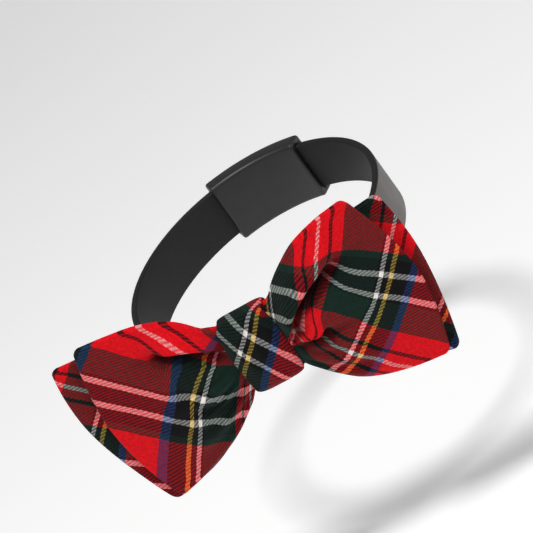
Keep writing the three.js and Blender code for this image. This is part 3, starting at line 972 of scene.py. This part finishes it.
def tartan(name):
    """Brushed twill in a red tartan on the bias, two threads over and two under, with painted shade inside
    the folds.
    """
    nodes = Nodes(name)
    along, across, flat = nodes.cloth()
    warp, weft = yarn_places(nodes, along, across, flat)
    warp_thread, warp_middle, warp_off = thread_at(nodes, warp)
    weft_thread, weft_middle, weft_off = thread_at(nodes, weft)
    step = nodes.math("FLOORED_MODULO", nodes.math("SUBTRACT", warp_thread, weft_thread), 2 * TWILL)
    warp_over = nodes.math("LESS_THAN", step, TWILL)

    warp_colour = stripe_colour(nodes, warp_middle, PIVOTS[name]["warp"] * MM, WARP_STRIPES)
    weft_colour = stripe_colour(nodes, weft_middle, PIVOTS[name]["weft"] * MM, WEFT_STRIPES)
    warp_seen = tinted(nodes, warp_colour, weft_colour, WARP_TINT)
    weft_seen = tinted(nodes, weft_colour, warp_colour, WEFT_TINT)
    warp_share = nodes.math("MULTIPLY_ADD", warp_over, WARP_SEEN_MORE, WARP_SEEN_UNDER)
    woven = nodes.mix(warp_share, weft_seen, warp_seen)
    mottle = nodes.noise(flat, scale=800, detail=4, roughness=0.75)
    colour = nodes.times(woven, nodes.spread(mottle, grey(MOTTLE_DARK), grey(MOTTLE_LIGHT)))
    # Painted shade: the colour is darkened inside the folds, as much as each point's painted fold shade says
    shade = nodes.mix(nodes.attribute("Depth"), grey(1.0), grey(PAINTED_SHADE_BRIGHTNESS))
    colour = nodes.times(colour, shade)

    thread_round = nodes.math("DIVIDE", nodes.mix(warp_over, weft_off, warp_off), -THREAD / 2)
    hairs = nodes.noise(flat, scale=2600, detail=3, roughness=0.7)
    normal = nodes.bump(thread_round, distance=0.14 * MM, strength=0.7)
    normal = nodes.bump(hairs, distance=0.15 * MM, strength=0.5, below=normal)
    roughness = nodes.math("MULTIPLY_ADD", hairs, 0.2, 0.78)
    return nodes.finish(colour, roughness, normal, {"Sheen Weight": 0.04, "Specular IOR Level": 0.12})


def strap_cloth():
    """Smooth, fine grey cloth outside, and painted shade inside: the inner face is painted near black."""
    nodes = Nodes("strap_cloth")
    _, across, flat = nodes.cloth()
    grain = nodes.noise(flat, scale=2400, detail=4, roughness=0.7)
    cloudy = nodes.noise(flat, scale=90, detail=3)
    outer = nodes.spread(cloudy, (0.165, 0.154, 0.148), (0.205, 0.192, 0.186))
    outer = nodes.times(outer, nodes.spread(grain, grey(0.8), grey(1.1)))
    outside = nodes.math("LESS_THAN", across, 2 * STRAP_HALF - 0.2 * MM)
    # Painted shade: the inner face is painted near black, as the grey band looks where it lies in shade
    colour = nodes.mix(outside, (0.012, 0.011, 0.011), outer)
    ribs = nodes.math("SINE", nodes.math("MULTIPLY", across, 2 * math.pi / (0.7 * MM)))
    normal = nodes.bump(ribs, distance=0.03 * MM, strength=0.4)
    normal = nodes.bump(grain, distance=0.08 * MM, strength=0.5, below=normal)
    roughness = nodes.math("MULTIPLY_ADD", grain, 0.25, 0.5)
    return nodes.finish(colour, roughness, normal, {"Specular IOR Level": 0.35})


def elastic():
    """Matte black elastic with fine ribs along it."""
    nodes = Nodes("elastic")
    along, _, flat = nodes.cloth()
    ribs = nodes.math("SINE", nodes.math("MULTIPLY", along, 2 * math.pi / (1.1 * MM)))
    grain = nodes.noise(flat, scale=2200, detail=3, roughness=0.7)
    colour = nodes.spread(grain, (0.010, 0.010, 0.011), (0.028, 0.027, 0.028))
    normal = nodes.bump(ribs, distance=0.12 * MM, strength=0.7)
    normal = nodes.bump(grain, distance=0.1 * MM, strength=0.6, below=normal)
    return nodes.finish(colour, 0.85, normal, {"Specular IOR Level": 0.25})


def clasp_plastic():
    """Satin black moulding with a fine spark-eroded grain."""
    nodes = Nodes("clasp_plastic")
    place = nodes.place()
    grain = nodes.noise(place, scale=2600, detail=2)
    cloudy = nodes.noise(place, scale=120, detail=3)
    colour = nodes.spread(cloudy, (0.014, 0.014, 0.015), (0.022, 0.022, 0.024))
    roughness = nodes.math("MULTIPLY_ADD", cloudy, 0.2, 0.36)
    normal = nodes.bump(grain, distance=0.05 * MM, strength=0.4)
    return nodes.finish(colour, roughness, normal, {"Specular IOR Level": 0.5})


def pale_floor():
    """Matte, nearly white floor that glows a little, so that it stays pale."""
    nodes = Nodes("pale_floor")
    shade = nodes.noise(nodes.place(), scale=3, detail=2)
    colour = nodes.spread(shade, grey(0.88), grey(0.9))
    nodes.join(colour, nodes.shader.inputs["Emission Color"])
    return nodes.finish(colour, 0.9, None, {"Specular IOR Level": 0.1, "Emission Strength": FLOOR_GLOW})


def floor_piece(material):
    ground = FRONT_LOW.z - FLOOR_DROP
    corners = [(x * FLOOR_HALF, y * FLOOR_HALF, ground) for x, y in ((-1, -1), (1, -1), (1, 1), (-1, 1))]
    return add_mesh("floor", corners, [(0, 1, 2, 3)], [[(0, 0)] * 4], material, smooth=False)


def surround(scene):
    """A pale horizon that dims upwards, so that the folds keep their shade."""
    world = bpy.data.worlds.new("surround")
    scene.world = world
    world.use_nodes = True
    tree = world.node_tree
    direction = tree.nodes.new("ShaderNodeTexCoord").outputs["Generated"]
    split = tree.nodes.new("ShaderNodeSeparateXYZ")
    ramp = tree.nodes.new("ShaderNodeValToRGB")
    tree.links.new(direction, split.inputs[0])
    tree.links.new(split.outputs["Z"], ramp.inputs[0])
    tree.links.new(ramp.outputs[0], tree.nodes["Background"].inputs["Color"])
    horizon, sky = ramp.color_ramp.elements
    horizon.color = HORIZON
    sky.position = SKY_FROM
    sky.color = SKY


def photo_directions():
    """The camera's right, up and backwards at the photograph's angle, and the direction of its light."""
    right = CAMERA_RIGHT.normalized()
    backwards = (CAMERA_BACKWARDS - CAMERA_BACKWARDS.dot(right) * right).normalized()
    return {"right": right, "up": backwards.cross(right), "backwards": backwards, "overhead": OVERHEAD}


def add_camera(scene, directions):
    camera = bpy.data.cameras.new("camera")
    camera.lens, camera.sensor_width = CAMERA_LENS, CAMERA_SENSOR
    camera.clip_start, camera.clip_end = 0.05, 30
    eye = bpy.data.objects.new("camera", camera)
    turned = Matrix((directions["right"], directions["up"], directions["backwards"])).transposed().to_4x4()
    eye.matrix_world = Matrix.Translation(CENTRE + directions["backwards"] * CAMERA_DISTANCE) @ turned
    scene.collection.objects.link(eye)
    scene.camera = eye


def add_lamp(scene, row, directions):
    """A soft round lamp that shines at the centre."""
    light = bpy.data.lights.new(row["name"], "AREA")
    light.shape = "DISK"
    light.size = row["size"]
    light.energy = row["power"]
    towards = Vector((0, 0, 0))
    for name, direction in directions.items():
        towards += row[name] * direction
    lamp = bpy.data.objects.new(row["name"], light)
    lamp.location = CENTRE + towards.normalized() * row["distance"]
    lamp.rotation_mode = "QUATERNION"
    lamp.rotation_quaternion = (-towards).to_track_quat("-Z", "Y")
    scene.collection.objects.link(lamp)


def studio():
    """A pale floor below the part, a pale surround, the camera at the photograph's angle, and soft lamps."""
    scene = bpy.context.scene
    scene.view_settings.view_transform = "Standard"
    floor = floor_piece(pale_floor())
    surround(scene)
    directions = photo_directions()
    add_camera(scene, directions)
    for row in LAMPS:
        add_lamp(scene, row, directions)


studio()

strap = strap_piece(strap_cloth())
keeper = keeper_piece(elastic())
clasp = clasp_piece(clasp_plastic())
knot = knot_piece(tartan("tartan_knot"))
front = layer_piece("front_layer", FRONT_LAYER, tartan("tartan_front"))
back = layer_piece("back_layer", BACK_LAYER, tartan("tartan_back"))

PIECES = [
    (strap, "collar_strap", "strap_cloth"),
    (keeper, "keeper_loop", "elastic"),
    (clasp, "clasp", "clasp_plastic"),
    (knot, "knot_wrap", "tartan_knot"),
    (front, "bow_front", "tartan_front"),
    (back, "bow_back", "tartan_back"),
]
for piece, node, slot in PIECES:
    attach(piece, "root")
    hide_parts(node)
